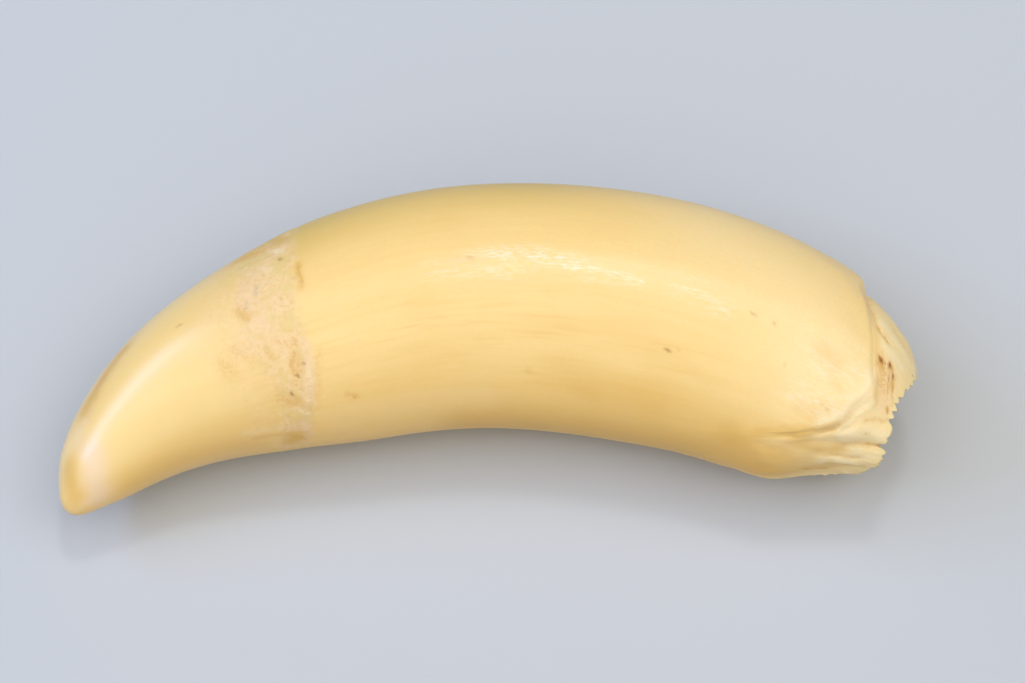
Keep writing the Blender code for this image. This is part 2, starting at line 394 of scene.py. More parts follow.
    def lip_end(self, theta: Array) -> Array:
        """Distance from the tip to the end of the body's lip: a profile with two sine waves."""
        waves = np.sin(9 * theta + 0.5) + 0.6 * np.sin(16 * theta + 2.0)
        return self.body_end.at(theta) + self.lip_wobble * waves

    def outer_half(self, distance: Array, theta: Array) -> Array:
        """Half breadth of the outside: the wider of the lipped body and the folded cone.

        Where the two are closer than the blend and the lip rounds off, a fourth of the blend
        times the squared closeness is added, so that they run together.

        Args:
            distance: Distances from the tip.
            theta: Angles round the section, in radians.

        Returns:
            The half breadth, before its share in depth is taken.
        """
        end = self.lip_end(theta)
        half = self.body_half(distance)
        inside = np.clip((end - distance) / self.lip_width, 0.0, 1.0)
        lip = (1 - (1 - inside) ** self.lip_power) ** (1 / self.lip_power)
        outer_side = 0.5 + 0.5 * np.cos(theta + np.radians(15))
        cone = outer_side * self.cone_outer.at(distance)
        cone = cone + (1 - outer_side) * self.cone_inner.at(distance)
        rise = fade(distance, self.cone_rise_start, self.cone_rise_run)
        cone = np.minimum(cone + self.cone_rise * np.sin(theta) ** 2 * rise, half)
        fold = self.fold_depth * self.fold_share.at(theta) * self.folds(distance, theta)
        cone = cone - fold * fade(distance - end, -self.fold_start, self.fold_run)
        crease = self.crease_depth * self.crease_share.at(theta)
        off = (distance - end + self.crease_back) / self.crease_width
        cone = cone - crease * np.exp(-(off**2))
        blend = self.blend.at(theta)
        near = np.clip(1 - np.abs(half * lip - cone) / blend, 0.0, 1.0)
        near = near * ramp((1 - lip) / self.blend_in)
        wider = np.maximum(half * lip, cone) + blend / 4 * near**2
        return wider + ramp(distance / 0.010) * self.swell(distance, theta)

    def place(self, distance: Array, theta: Array, half: Array) -> Array:
        """Points of the sections: half times cosine across the mid line, its sine upwards.

        Args:
            distance: Distances from the tip.
            theta: Angles round the section, in radians.
            half: The half breadth there.

        Returns:
            The points, with the hook's plane level.
        """
        x, y, heading = self.mid_line(distance)
        across = half * np.cos(theta)
        up = self.depth_share.at(distance) * half * np.sin(theta)
        return np.stack([x - np.sin(heading) * across, y + np.cos(heading) * across, up], axis=-1)

    def distance_at(self, along: Array, theta: Array, rim: Array) -> Array:
        """Where the grid's rings are, stretched evenly so that they follow the lip and the rim.

        Args:
            along: 0 to 1 from the tip to the rim.
            theta: Angles round the section, in radians.
            rim: Distance from the tip to the rim at those angles.

        Returns:
            Distances from the tip.
        """
        lip = self.lip_end(theta)
        even = np.minimum(along, 1.0) * self.grid_rim
        lip_share = (even - self.even_to) / (self.grid_lip - self.even_to)
        rim_share = (even - self.grid_lip) / (self.grid_rim - self.grid_lip)
        to_lip = self.even_to + (lip - self.even_to) * lip_share
        to_rim = lip + (rim - lip) * rim_share
        return np.where(even < self.even_to, even, np.where(even < self.grid_lip, to_lip, to_rim))

    def skin(self, along: Array, theta: Array, rim: Array) -> tuple[Array, Array]:
        """Points of the whole skin, lying as the tooth rests.

        From tip to rim a section's half breadth is the outside's. Past the rim it shrinks to
        nothing as the floor of the pulp pit sinks, both eased by the share that is left.

        Args:
            along: 0 to 1 from the tip to the rim, then 1 to 2 to the middle of the pit.
            theta: Angles round the section, in radians.
            rim: Distance from the tip to the rim at those angles.

        Returns:
            The points, and the distance from the tip of each.
        """
        distance = self.distance_at(along, theta, rim)
        share = 1 - np.clip(along - 1.0, 0.0, 1.0)
        uneven = 1 + 0.2 * np.cos(2 * theta + 0.6) * ramp(2 * share)
        floor = self.pit_depth * ramp((0.88 - share) / 0.5) * uneven
        pit_distance = self.pit_base + (rim - self.pit_base) * share**3 - floor
        pleat = self.pit_pleat * ramp(3 * (1 - share)) * ramp(1.6 * share)
        evened = self.pit_half + (self.outer_half(rim, theta) - self.pit_half) * share**3
        pit_half = evened * share * (1 - pleat * np.cos(7 * theta + 1))
        in_pit = along > 1.0
        half = np.where(in_pit, pit_half, self.outer_half(distance, theta))
        distance = np.where(in_pit, pit_distance, distance)
        turn = Euler((math.radians(self.roll), math.radians(self.pitch), 0.0), "XYZ")
        turned = self.place(distance, theta, half) @ np.array(turn.to_matrix()).T
        return turned - np.array(self.turned_bottom), distance


# Marks on the skin


class Zone(Enum):
    """Parts of the skin that have a finish of their own, each a vertex attribute.

    The shade of the hollows is painted shade in pits, slits, creases and the cone's folds.
    """

    CROWN = "zone_crown"
    GUM = "zone_gum"
    CONE = "zone_cone"
    PULP = "zone_pulp"
    # Painted shade in pits, slits, creases and folds
    HOLLOW = "zone_hollow"


class Tint(Enum):
    """Stains of the skin, each a vertex attribute.

    The yellow-brown tint also holds painted shade under the lip and along the inner edge, and the
    whitish speck tint holds painted highlights on the root besides the knuckle's mottling.
    """

    OCHRE = "tint_ochre"
    BROWN = "tint_brown"
    PALE = "tint_pale"
    ROSE = "tint_rose"
    GREY = "tint_grey"
    OLIVE = "tint_olive"
    # Yellow-brown stains, and painted shade under the lip and along the inner edge
    TAN = "tint_tan"
    CREAM = "tint_cream"
    BLUSH = "tint_blush"
    # Painted highlights on the root, whitish mottling on the knuckle
    FLECK = "tint_fleck"


@dataclass(frozen=True)
class SkinGrid:
    """The skin's parameters at every point of the grid.

    They are millimetres from the tip, degrees, the half breadth in millimetres and the grid's own
    parameter, which is over 1 inside the pit.
    """

    distance: Array
    degrees: Array
    half: Array
    along: Array
    form: ToothForm

    @property
    def theta(self) -> Array:
        """The angles in radians."""
        return np.radians(self.degrees)

    @property
    def past_lip(self) -> Array:
        """Millimetres past the end of the body's lip, less than 0 before it."""
        return self.distance - self.form.lip_end(self.theta) / MM

    def noise(self, grain: Grain) -> Array:
        """The grain on the skin, with no seam: it is read at the distance and on a circle.

        Args:
            grain: The noise. If it gives its step along, it stretches along the tooth, and the
                circle's radius is CORE. If not, the radius is the half breadth.

        Returns:
            Values from -1 to 1.
        """
        radius = CORE / MM if grain.along else self.half
        circle = [radius * turn(self.theta) / grain.step for turn in (np.cos, np.sin)]
        along = self.distance / (grain.along or grain.step)
        return grain.at(np.stack([along, *circle], axis=-1))


@dataclass(frozen=True)
class Strokes:
    """Spots and lines of one tint on the skin.

    Each row gives the width and depth of one in millimetres and the strength of its tint, then
    its path's points: millimetres from the tip and degrees, in turn.
    """

    tint: Tint
    rows: tuple[Row, ...]

    def covers(self, grid: SkinGrid) -> Iterator[tuple[Array, float, float]]:
        """Finds where each one lies: 1 on its path, falling off as a bell from it.

        Args:
            grid: The grid's parameters. Degrees are turned to millimetres with its half breadth.

        Yields:
            The cover, 0 to 1, at every point, the depth and the strength.
        """
        for width, depth, strength, *path in self.rows:
            points = list(zip(path[::2], path[1::2]))
            nearest = np.full(grid.distance.shape, np.inf)
            for (place_a, angle_a), (place_b, angle_b) in zip(points, points[1:] or points):
                x = grid.distance - place_a
                y = np.radians(turn_between(grid.degrees, angle_a)) * grid.half
                run = place_b - place_a
                rise = math.radians(turn_between(angle_b, angle_a)) * grid.half
                share = np.clip((x * run + y * rise) / (run * run + rise * rise + 1e-9), 0, 1)
                off = (x - share * run) ** 2 + (y - share * rise) ** 2
                nearest = np.minimum(nearest, off)
            yield np.exp(-nearest / width**2), depth, strength


MARKS = (
    Strokes(Tint.TAN, (
        # Yellow tip and edges of the crown
        (1.3, 0, 0.64, 2, 92, 3, 72, 4, 58), (1.3, 0, 0.92, 10.2, 41, 12.8, 36, 16.8, 30),
        (2.4, 0, 0.45, 7.5, 158, 15, 160, 24, 166),
        # Browner where the gum band meets both edges of the hook
        (0.95, 0, 0.8, 31, 28, 32.9, 32.5, 34.1, 34.5, 35.3, 35),
        (0.9, 0, 0.8, 29.2, 168, 30.7, 162), (0.5, 0, 0.25, 31.4, 154),
        (0.5, 0.01, 0.5, 37.2, 60, 36.7, 74), (0.35, 0, 0.45, 25, 156, 29, 157, 32, 159),
        # Inner edge and clouds of the root, the inner edge partly painted shade
        (4.2, 0, 0.9, 54, 175, 70, 174, 84, 172, 97, 168), (2.6, 0, 0.6, 72, 176, 82, 180, 90, 184),
        (3, 0, 0.22, 67, 131, 72, 139, 79, 144), (1.4, 0, 0.2, 69.4, 140, 71.2, 143),
        # Painted shade under the lip, and in the hollows and folds below it
        (1.3, 0.05, 0.2, 97.2, 86, 99.2, 88), (0.6, 0.04, 0.12, 99.8, 97, 101, 99),
        (1.2, 0.05, 0.14, 98.6, 118, 101, 117),
        (0.42, -0.08, 0.36, 102.9, 64, 104.2, 84, 104.7, 91),
        (0.28, 0, 0.24, 104.5, 93, 104.2, 101, 103.6, 109, 102.8, 116),
        (0.75, 0, 0.5, 102.6, 118, 100.9, 124, 98.6, 131, 95, 138),
        (0.7, -0.2, 0, 103.1, 122, 101.5, 127.5, 99.6, 132),
        (1.2, 0, 0.55, 104.6, 136, 102.8, 140, 101.2, 138, 99.4, 135),
        (2.4, 0, 0.62, 92, 150, 96, 151, 98.4, 150), (1.8, 0, 0.6, 97, 166, 101, 166, 104, 163),
        (1, 0, 0.24, 100.2, 152, 101.8, 152),
        # The hidden side
        (2.8, 0, 0.22, 58, 240, 66, 236, 74, 238), (2.4, 0, 0.22, 84, 305, 92, 298),
    )),
    Strokes(Tint.OCHRE, (
        # Dash, stains and worn rims of the band
        (0.7, 0.04, 0.55, 35.2, 22, 36.4, 34), (0.6, 0.03, 0.5, 31.6, 20, 34.4, 27),
        (0.22, 0.02, 0.7, 37.2, 60, 37, 67, 36.8, 73), (0.6, 0.02, 0.6, 29.2, 72, 29.7, 79),
        (0.6, 0.01, 0.25, 30.2, 76, 30.8, 80), (0.7, 0.02, 0.35, 27.2, 93, 28.3, 104),
        (1, 0.02, 0.22, 25.6, 101, 25, 106), (0.4, 0.02, 0.45, 30.8, 99, 30.9, 106),
        (0.9, 0.01, 0.24, 25.2, 96, 26, 106), (0.36, 0.03, 0.6, 34, 101, 34, 103),
        (0.24, 0.04, 0.75, 33.5, 107, 32.9, 113, 32.7, 118),
        (0.75, 0.03, 0.42, 33.8, 112, 33.6, 118), (1, 0.02, 0.46, 30.2, 130, 31.4, 134),
        (0.6, 0.01, 0.3, 31.6, 135, 33, 138), (0.75, 0.01, 0.5, 29.6, 160, 31.3, 165),
        (0.42, 0.01, 0.26, 36.4, 108, 35.3, 126, 34.3, 140),
        # Specks of the root
        (0.2, 0.02, 0.55, 72.7, 114), (0.3, 0.02, 0.45, 62.5, 131.2),
        (0.55, 0.02, 0.45, 38.3, 136.6, 39.2, 138.5), (0.16, 0.03, 0.55, 81.4, 112.6),
        # Creases and folds of the cone, and the sides of its slits
        (0.3, 0.03, 0.3, 100.4, 110, 101.6, 111.8), (0.45, 0.02, 0.4, 98, 28, 99.6, 42, 100.9, 52),
        (0.22, 0.06, 0.75, 100.9, 51.5, 101.8, 52.5, 102.8, 54),
        (0.36, 0, 0.75, 102.8, 66.6, 103.6, 71), (0.34, 0, 0.65, 104.2, 66, 105.4, 70, 105.8, 75),
        (0.14, 0.06, 1, 106, 75, 106.3, 78), (1.1, 0, 0.42, 103.9, 71.5, 105.1, 79),
        (0.34, 0.005, 0.32, 103.9, 71.5, 104.6, 78.5, 105.2, 84),
        (0.3, 0.005, 0.26, 105.4, 76, 105.9, 79, 106.5, 82),
        (0.25, 0.04, 0.35, 102.4, 36, 104.4, 38), (0.26, 0.03, 0.9, 106.7, 90.5, 107, 92.5),
        (0.28, 0.06, 0.35, 107.6, 97.5, 106.4, 102.5, 105.4, 107), (0.26, 0.03, 0.45, 106.2, 115.5),
        (0.24, 0.16, 0.6, 108.9, 118.5, 108.2, 121.4, 107, 124.5),
        (0.4, 0.05, 0.35, 106.9, 125, 105.6, 128, 104.2, 130.5),
        (0.28, 0.08, 0.4, 106.9, 142, 105.3, 143.8, 103.9, 142.6),
        (0.26, 0.1, 0.45, 104, 155, 106, 157, 107.8, 156),
        (0.22, 0.12, 1, 102.1, 166, 103.2, 169.5, 104.3, 171.5),
        # The hidden side, which wears and folds much the same
        (0.45, 0.07, 0.7, 34, 286, 33.6, 276), (0.5, 0.05, 0.6, 35.8, 310, 36.4, 300),
        (0.8, 0.02, 0.3, 28.6, 262, 28, 250), (0.3, 0.22, 0.75, 98.8, 205, 103, 209, 107.6, 214),
        (0.32, 0.24, 0.8, 101, 226, 104.4, 228, 107.8, 233),
        (0.28, 0.22, 0.75, 103, 246, 105, 247, 107, 251), (0.32, 0.2, 0.8, 102, 300, 105.6, 304),
        (0.28, 0.2, 0.7, 101.4, 322, 104, 326), (0.32, 0.18, 0.6, 100, 343, 104.4, 346),
        (0.28, 0.14, 0.5, 99.6, 8, 104.6, 12), (0.5, 0.08, 0.4, 98, 262, 100.4, 268),
        (0.8, 0.05, 0.4, 95.6, 330, 97, 338),
    )),
    Strokes(Tint.BROWN, (
        # Pits and specks up to the lip
        (0.8, 0, 0.09, 12.2, 37, 13.4, 36), (0.22, 0.03, 0.45, 22.9, 57.5),
        (0.17, 0.04, 0.6, 35.2, 50.6, 35.4, 52.2), (0.15, 0.03, 0.85, 34.1, 113.2),
        (0.18, 0.03, 0.75, 33.1, 118.8, 33.2, 119.6), (0.13, 0.03, 0.8, 33, 127.6),
        (0.16, 0.03, 0.85, 31.6, 128.2, 31.7, 128.8), (0.26, 0.02, 0.26, 54.5, 79.5),
        (0.24, 0.03, 0.48, 55.7, 80), (0.22, 0.03, 0.66, 63.1, 133.6),
        (0.18, 0.02, 0.45, 62.4, 165), (0.14, 0.03, 0.35, 38.9, 139.5),
        (0.2, 0.03, 0.6, 79.6, 110.4), (0.22, 0.03, 0.66, 79.8, 113.4),
        (0.16, 0.03, 0.32, 88.3, 86.5, 88.9, 86.5), (0.2, 0.03, 0.3, 90.8, 86.2),
        (0.16, 0.03, 0.3, 94, 101.5),
        # Slits of the cone
        (0.19, 0.04, 1, 102.95, 67, 103.25, 69), (0.17, 0.04, 1, 104.2, 65.4, 104.42, 67),
        (0.12, 0.02, 0.8, 103.75, 67.6), (0.13, 0.02, 0.7, 105, 73.6),
        (0.13, 0.04, 1, 105.1, 68.2, 105.35, 70.2), (0.12, 0.06, 0.85, 106.8, 45.6),
        (0.12, 0.05, 0.65, 108.6, 119.8, 107.9, 122.2),
        # The hidden side
        (0.25, 0.12, 0.8, 33, 262, 33.4, 258), (0.3, 0.08, 0.6, 31.4, 246, 31.9, 240),
        (0.3, 0.04, 0.35, 44, 263, 47, 262), (0.24, 0.06, 0.6, 72, 285),
        (0.18, 0.05, 0.45, 73.1, 283.5),
        (0.24, 0.2, 0.6, 104, 264, 106.4, 268), (0.18, 0.16, 0.95, 103, 284, 103.8, 288),
    )),
    Strokes(Tint.OLIVE, (
        # Outer edge of the root
        (6.2, 0, 0.85, 39, 26, 50, 20, 62, 16), (5.6, 0, 0.4, 60, 18, 74, 14),
    )),
    Strokes(Tint.CREAM, (
        # Lighter fields of the crown, the inner edge and the root
        (1.4, 0, 0.6, 3.6, 34, 6, 40), (0.5, 0, 0.55, 24, 150, 28, 151, 32, 152),
        (3.4, 0, 0.35, 36, 152, 46, 150, 56, 150), (8, 0, 0.8, 82, 50, 92, 60, 97, 88),
        # The knuckle before the lip
        (4.5, 0, 0.78, 99, 92, 103, 94), (2.2, 0, 0.4, 97, 112, 101.5, 112),
    )),
    Strokes(Tint.PALE, (
        # Worn spots of the band
        (0.4, -0.02, 0.55, 35.2, 42, 35.9, 47), (0.5, -0.01, 0.45, 33.4, 52, 33.9, 56),
        (0.5, -0.04, 0.45, 34.6, 117, 34.3, 128), (0.5, -0.03, 0.4, 33.3, 134, 34, 138),
        (0.45, -0.03, 0.6, 31.6, 138, 32.6, 143),
        # Lumps between the folds of the cone
        (0.8, -0.03, 0.7, 103.3, 80, 103.7, 92, 103.4, 103, 102.6, 111, 101, 119),
        (0.9, -0.06, 0.72, 103.2, 58, 105.4, 57),
        (0.8, -0.06, 0.75, 101.2, 44, 103.6, 45, 105.6, 43),
        (0.55, -0.06, 0.75, 106.5, 34, 106.9, 43),
        (0.5, -0.2, 0.6, 104.8, 93, 104.6, 100, 104.2, 107, 103.9, 113, 103.2, 119),
        (1, -0.15, 0.75, 103.9, 124, 104.9, 121, 106.4, 113.5, 107.8, 112.5),
        (0.95, -0.14, 0.62, 105.8, 133, 107.9, 136),
        (0.95, -0.18, 0.66, 103.6, 148.5, 105, 148, 106.6, 148.5),
        (0.3, -0.22, 0.4, 103, 184, 103.3, 186), (0.3, -0.24, 0.4, 104.2, 186, 104.4, 188),
        (0.3, -0.24, 0.4, 105.2, 183, 105.4, 186), (0.34, -0.22, 0.4, 106.3, 176, 106.5, 179),
        # The hidden side
        (0.6, -0.04, 0.5, 31, 225, 31.5, 210),
    )),
    Strokes(Tint.ROSE, (
        # Pinkish clouds of the band, and by the cone's slits
        (1.2, -0.01, 0.6, 34.6, 38, 35.6, 44), (0.55, 0.03, 0.6, 31, 82, 31.6, 88),
        (1.4, 0, 0.48, 30.6, 64, 31.6, 78, 31.2, 90), (1.3, 0, 0.45, 28.8, 85, 27.8, 96),
        (0.8, 0, 0.65, 35.2, 104, 34.6, 120, 33.4, 134), (0.7, 0, 0.6, 31.6, 150, 32.2, 160),
        (0.8, 0, 0.3, 54, 80.5, 57.5, 81.5), (1.2, 0, 0.65, 104.2, 68, 105.4, 78, 106.1, 90),
        # The hidden side
        (0.55, 0.04, 0.6, 30.2, 290, 30.8, 280),
    )),
    Strokes(Tint.BLUSH, (
        # Pinkish zone of the crown
        (1.6, 0, 0.75, 3.2, 135, 4.8, 108, 7, 84), (0.9, 0, 0.42, 6.8, 56, 9, 50, 10.4, 48),
    )),
    Strokes(Tint.FLECK, (
        # Painted highlights of the root
        (1, 0, 0.65, 56, 79.5, 59.4, 78.5), (0.9, 0, 0.4, 60.5, 76, 67, 79),
        (0.9, 0, 0.7, 63, 81.5, 69.5, 83.5), (0.8, 0, 0.5, 67, 84.5, 75, 85.8),
        (1.5, 0, 0.35, 52, 84, 62, 87), (1.5, 0, 0.6, 80.6, 84, 84.6, 87),
        # Whitish mottling of the knuckle
        (3.2, 0, 0.44, 98, 88, 103.6, 90), (2, 0, 0.48, 97.5, 112, 102.5, 112),
    )),
    Strokes(Tint.GREY, (
        # Smudges of the band
        (0.22, 0.06, 0.6, 36.2, 67.5), (0.26, 0.04, 0.55, 32, 62, 31.7, 67),
        (0.22, 0.03, 0.45, 30.5, 70, 30.2, 73.5),
    )),
)


@dataclass(frozen=True)
class SkinRelief:
    """Everything finer than the main form. Heights are in millimetres, above the form.

    A fade is where it starts and its length, in the units of what it is read from. A side is the
    middle and the reach, in degrees, of what lies on one side of the tooth only. A warp bends
    the paths of the marks: its reach in millimetres, its grain along and its grain round.
    """

    gum_root_edge: RoundProfile = RoundProfile((
        (18, 38.2), (47, 38.2), (60, 37.8), (82, 37.1), (98, 36.5), (113, 35.9), (130, 34.9),
        (149, 33.6), (169, 32.3), (195, 31.5), (225, 32.4), (265, 34.9), (305, 37.2), (340, 38.1),
    ))
    gum_crown_edge: RoundProfile = RoundProfile((
        (24, 31.4), (50, 30.6), (72, 28.6), (98, 28.4), (115, 29.4), (130, 29.8), (150, 28.6),
        (169, 27.6), (195, 27.4), (230, 28.4), (265, 28.2), (300, 29.8), (335, 31.2),
    ))
    edge_sharp: RoundProfile = RoundProfile((
        (15, 0.9), (40, 0.3), (75, 0.0), (100, 0.4), (120, 0.9), (150, 0.7), (230, 0.5), (300, 0.6),
    ))
    crown_fade: Pair = (-8.0, 9.0)
    gum_fade: Pair = (-0.8, 1.6)
    faint_fade: Pair = (-7.5, 7.0)
    faint_share: float = 0.45
    cone_start: float = -1.3
    cone_spread: float = 0.9
    smooth_side: Pair = (168, 22)
    smooth_spread: float = 9.0
    rim_fade: Pair = (0.999, 0.001)
    pulp_fade: Pair = (1.02, 0.12)
    ragged_edge: float = 0.55
    ragged_grain: Grain = Grain(3, 1.1, 3)
    crust_step: float = 0.02
    crust_height: float = 0.05
    crust_grain: Grain = Grain(5, 1.4, 3)
    crust_fade: Pair = (-0.15, 0.4)
    crumb_height: float = 0.03
    crumb_grain: Grain = Grain(8, 0.5, 2)
    wave_height: float = 0.035
    wave_grain: Grain = Grain(11, 7.0, along=14.0)
    fibre_height: float = 0.010
    fibre_grain: Grain = Grain(14, 1.1, 2, 9.0)
    knuckle_fade: Pair = (-12.0, 9.0)
    knuckle_height: float = 0.15
    knuckle_grain: Grain = Grain(17, 3.6, 3)
    shell_side: Pair = (60, 38)
    frill_height: float = 0.07
    frill_grain: Grain = Grain(20, 2.1, 3, 5.5)
    wrinkle_side: Pair = (80, 15)
    wrinkle_height: float = 0.018
    wrinkle_gap: float = 0.80
    wrinkle_bend: float = 0.35
    wrinkle_grain: Grain = Grain(23, 2.6)
    pulp_height: float = 0.22
    pulp_grain: Grain = Grain(26, 1.5, 3)
    lump_side: Pair = (142, 26)
    lump_height: float = 0.16
    lump_grain: Grain = Grain(29, 1.9, 2)
    nick_depth: float = 0.30
    nick_grain: Grain = Grain(31, layers=2)
    nick_fade: Pair = (-0.15, 0.7)
    nicks_round: float = 12.0
    tip_fade: Pair = (0.6, 6.0)
    crease_reach: float = 0.6
    warps: tuple[tuple[float, Grain, Grain], ...] = (
        (0.22, Grain(41, 0.9), Grain(42, 0.9)), (0.10, Grain(43, 0.35), Grain(44, 0.35)),
    )
    hollow_depth: float = 0.25
    marks: tuple[Strokes, ...] = MARKS

    def nicks(self, theta: Array) -> Array:
        """How far the ragged rim falls short: the peaks of a fine noise round it.

        Args:
            theta: Angles round the section, in radians.

        Returns:
            Metres, from 0 to the depth of a nick.
        """
        circle = np.stack([np.cos(theta), np.sin(theta), 0 * theta], axis=-1)
        fine = self.nick_grain.at(circle * self.nicks_round)
        return MM * self.nick_depth * fade(fine, *self.nick_fade)

    def zones(self, grid: SkinGrid) -> dict[Enum, Array]:
        """How far each point belongs to the crown, the gum band, the cone and the pit.

        Args:
            grid: The grid's parameters.

        Returns:
            A share, 0 to 1, for each zone.
        """
        ragged = self.ragged_edge * grid.noise(self.ragged_grain)
        before_root = self.gum_root_edge.at(grid.theta) - grid.distance
        past_crown = grid.distance - self.gum_crown_edge.at(grid.theta)
        sharp = self.edge_sharp.at(grid.theta)
        gum = ramp((before_root + (1.6 - sharp) * ragged) / (2.4 - 1.9 * sharp))
        gum = gum * fade(past_crown + 2.0 * ragged, *self.gum_fade)
        faint = self.faint_share * fade(past_crown, *self.faint_fade) * ramp(before_root / 3)
        smooth = beside(grid.degrees, *self.smooth_side)
        spread = self.cone_spread + self.smooth_spread * smooth
        on_cone = fade(grid.past_lip, self.cone_start, spread)
        return {
            Zone.CROWN: 1 - fade(past_crown, *self.crown_fade),
            Zone.GUM: np.maximum(gum, faint),
            Zone.CONE: np.maximum(on_cone, fade(grid.along, *self.rim_fade)),
            Zone.PULP: fade(grid.along, *self.pulp_fade),
        }

    def heights(self, grid: SkinGrid, zones: dict[Enum, Array]) -> Array:
        """Sum of the noises and waves of each zone, before the marks are pressed in.

        Args:
            grid: The grid's parameters.
            zones: What zones() gave.

        Returns:
            Millimetres above the main form.
        """
        past_lip, degrees = grid.past_lip, grid.degrees
        root = 1 - zones[Zone.CROWN]
        crust = self.crust_height * fade(grid.noise(self.crust_grain), *self.crust_fade)
        crust = crust + self.crumb_height * grid.noise(self.crumb_grain)
        crust = zones[Zone.GUM] * (self.crust_step + crust)
        waves = self.wave_height * (0.3 + 0.7 * root) * grid.noise(self.wave_grain)
        fibres = self.fibre_height * root * grid.noise(self.fibre_grain)
        near_end = fade(past_lip, *self.knuckle_fade) * (1 - zones[Zone.CONE])
        knuckles = self.knuckle_height * near_end * grid.noise(self.knuckle_grain)
        pulp = self.pulp_height * zones[Zone.PULP] * grid.noise(self.pulp_grain)
        frills = 0.6 - 2 * np.abs(grid.noise(self.frill_grain))
        frills = self.frill_height * frills * (1 - 0.6 * beside(degrees, *self.shell_side))
        lumps = self.lump_height * grid.noise(self.lump_grain)
        curl = past_lip + self.wrinkle_bend * grid.noise(self.wrinkle_grain)
        near_lip = ramp(past_lip / 0.5) * ramp((2.6 - past_lip) / 1.2)
        wrinkles = self.wrinkle_height * near_lip * np.sin(2 * np.pi * curl / self.wrinkle_gap)
        cone = frills + lumps * beside(degrees, *self.lump_side)
        cone = cone + wrinkles * beside(degrees, *self.wrinkle_side)
        cone = zones[Zone.CONE] * (1 - zones[Zone.PULP]) * cone
        return crust + waves + fibres + knuckles + pulp + cone

    def press(self, grid: SkinGrid) -> tuple[Array, dict[Enum, Array]]:
        """The whole relief, with the marks pressed in and their stains gathered.

        Args:
            grid: The grid's parameters.

        Returns:
            Millimetres above the form, and a share, 0 to 1, for each zone and tint.
        """
        covers = self.zones(grid)
        height = self.heights(grid, covers)
        along_by = sum(reach * grid.noise(grain) for reach, grain, _ in self.warps)
        round_by = sum(reach * grid.noise(grain) for reach, _, grain in self.warps)
        turned = grid.degrees + np.degrees(round_by / np.maximum(grid.half, 1.0))
        bent = replace(grid, distance=grid.distance + along_by, degrees=turned)
        # Depth of the marks, gathered for painted shade
        hollow_shade = np.zeros(height.shape)
        on_outside = grid.along <= 1.0
        for strokes in self.marks:
            gathered = np.zeros(height.shape)
            for cover, depth, strength in strokes.covers(bent):
                cover = cover * on_outside
                height = height - depth * cover
                hollow_shade = np.maximum(hollow_shade, cover * np.clip(depth / self.hollow_depth, 0, 1))
                gathered = gathered + (1 - gathered) * strength * cover
            covers[strokes.tint] = gathered
        form, theta = grid.form, grid.theta
        crease = form.crease_share.at(theta) * on_outside
        crease = crease * np.exp(-((grid.past_lip / self.crease_reach + 1) ** 2))
        folds = form.fold_share.at(theta) * form.folds(grid.distance * MM, theta)
        # Painted shade: the deepest marks, the crease by the lip and the cone's folds
        folded = np.maximum(hollow_shade, 0.5 * crease) + 0.6 * folds * covers[Zone.CONE]
        covers[Zone.HOLLOW] = np.clip(folded, 0, 1)
        return height * fade(grid.distance, *self.tip_fade), covers


# Shader maths


class Bench:
    """Lays out the nodes of one material."""

    def __init__(self, name: str) -> None:
        """Makes an empty node material.

        Args:
            name: What the material is called.
        """
        self.material = bpy.data.materials.new(name)
        self.material.use_nodes = True
        self.tree = self.material.node_tree
        self.tree.nodes.clear()

    def node(
        self, kind: str, settings: Settings | None = None, inputs: Settings | None = None
    ) -> bpy.types.Node:
        """Adds a node.

        Args:
            kind: Its type, without the ShaderNode that all share.
            settings: Its properties, set first.
            inputs: Values or links for its sockets, by name or number.

        Returns:
            The node.
        """
        made = self.tree.nodes.new("ShaderNode" + kind)
        for name, value in (settings or {}).items():
            setattr(made, name, value)
        for name, value in (inputs or {}).items():
            socket = made.inputs[name]
            if isinstance(value, Signal):
                self.tree.links.new(value.socket, socket)
            else:
                socket.default_value = (*value, 1.0) if socket.type == "RGBA" else value
        return made

    def signal(self, kind: str, *given: Settings, output: int | str = 0) -> Signal:
        """Adds a node as node() does, and returns one of its outputs."""
        return Signal(self, self.node(kind, *given).outputs[output])

    def attribute(self, name: str, output: str = "Fac") -> Signal:
        """The mesh's own attribute of that name."""
        return self.signal("Attribute", {"attribute_name": name}, output=output)

    def layered(self, base: Any, *layers: tuple[Any, Any]) -> Signal:
        """Mixes layers into a colour, one by one.

        Args:
            base: The colour below them.
            layers: Colours, each with its share from 0 to 1.

        Returns:
            The mixed colour.
        """
        settings = {"data_type": "RGBA", "clamp_factor": True}
        for colour, share in layers:
            base = self.signal("Mix", settings, {0: share, 6: base, 7: colour}, output=2)
        return base

    def noise(self, vector: Signal, along: float, across: float, detail: float) -> Signal:
        """Adds a noise, its coordinates scaled first.

        Args:
            vector: The coordinates.
            along: Their scale in x.
            across: Their scale in y and z.
            detail: The noise's layers.

        Returns:
            Values from 0 to 1.
        """
        scales = (along, across, across)
        spread = self.signal("Mapping", {}, {"Vector": vector, "Scale": scales})
        return self.signal("TexNoise", {}, {"Vector": spread, "Scale": 1.0, "Detail": detail})

    def finished(self, inputs: Settings) -> bpy.types.Material:
        """Ends the material with a principled shader.

        Args:
            inputs: Values or links for the shader's sockets.

        Returns:
            The material.
        """
        surface = self.signal("BsdfPrincipled", {}, inputs)
        self.node("OutputMaterial", {}, {"Surface": surface})
        return self.material


def operator(operation: str, swapped: bool = False) -> Callable[[Signal, Any], Signal]:
    """Makes a method of Signal that adds one Math node.

    Args:
        operation: The node's own name for it.
        swapped: Whether the other value comes first.

    Returns:
        The method.
    """

    def act(self: Signal, other: Any) -> Signal:
        """The method itself."""
        values = (other, self) if swapped else (self, other)
        return self.bench.signal("Math", {"operation": operation}, dict(enumerate(values)))

    return act


